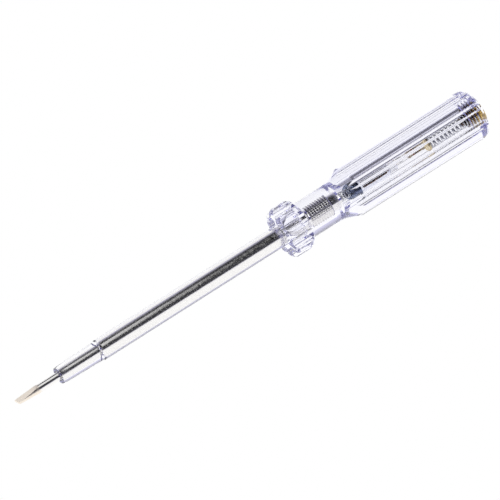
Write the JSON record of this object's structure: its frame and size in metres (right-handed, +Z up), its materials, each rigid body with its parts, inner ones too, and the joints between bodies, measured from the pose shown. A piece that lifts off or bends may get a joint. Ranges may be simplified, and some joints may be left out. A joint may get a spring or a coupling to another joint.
{
  "type": "voltage tester screwdriver",
  "caption": "Slotted screwdriver with a clear fluted handle that holds a neon lamp, a resistor and springs, with a screw-in brass contact cap.",
  "frame": {"origin": "on the surface that the tool lies on, under the middle of its length and its axis", "axes": "+X along the tool from the blade to the contact cap, +Z up"},
  "size_m": [0.19, 0.0174, 0.0174],
  "materials": {
    "clear_handle": "clear polished moulding with a faint violet tint",
    "clear_sleeve": "clear polished tube",
    "plated_steel": "nickel-plated steel",
    "spring_wire": "drawn bright wire",
    "lamp_cap_plate": "dull plated cup",
    "lamp_glass": "clear glass",
    "electrode_nickel": "coated nickel, brownish",
    "lamp_wire": "copper-clad wire",
    "solder": "soft grey solder",
    "resistor_ceramic": "white ceramic",
    "resistor_cap_steel": "pressed steel",
    "tinned_wire": "tinned copper wire",
    "resistor_lacquer": "pale glossy lacquer",
    "band_paint": "coloured rings",
    "contact_brass": "turned brass"
  },
  "bodies": {
    "handle_body": {"handle": "clear_handle", "insulating_sleeve": "clear_sleeve", "blade_shaft": "plated_steel", "front_spring": "spring_wire"},
    "light_unit": {"lamp_cap": "lamp_cap_plate", "lamp_glass": "lamp_glass", "lamp_left_electrode": "electrode_nickel", "lamp_right_electrode": "electrode_nickel", "lamp_front_lead": "lamp_wire", "lamp_rear_lead": "lamp_wire", "lamp_cap_solder": "solder", "lead_joint_solder": "solder", "resistor_core": "resistor_ceramic", "resistor_front_cap": "resistor_cap_steel", "resistor_rear_cap": "resistor_cap_steel", "resistor_front_lead": "tinned_wire", "resistor_rear_lead": "tinned_wire", "resistor_lacquer": "resistor_lacquer", "resistor_bands": "band_paint", "contact_washer": "contact_brass"},
    "spring_end": {"rear_spring": "spring_wire"},
    "cap": {"contact_cap": "contact_brass"}
  },
  "joints": [
    {"name": "light_slide", "type": "slide", "parent": "handle_body", "child": "light_unit", "axis": [1, 0, 0], "range_m": [0, 0.00075], "deforming": ["front_spring"]},
    {"name": "spring_slide", "type": "slide", "parent": "light_unit", "child": "spring_end", "axis": [1, 0, 0], "range_m": [0, 0.003], "deforming": ["rear_spring"]},
    {"name": "cap_turn", "type": "hinge", "parent": "spring_end", "child": "cap", "pos_m": [0.092, 0, 0.00869], "axis": [1, 0, 0], "range_deg": [0, 1080]}
  ],
  "couplings": [
    {"joint": "light_slide", "follows": "spring_slide", "ratio": 0.25},
    {"joint": "cap_turn", "follows": "spring_slide", "rad_per_m": 6283.2}
  ]
}
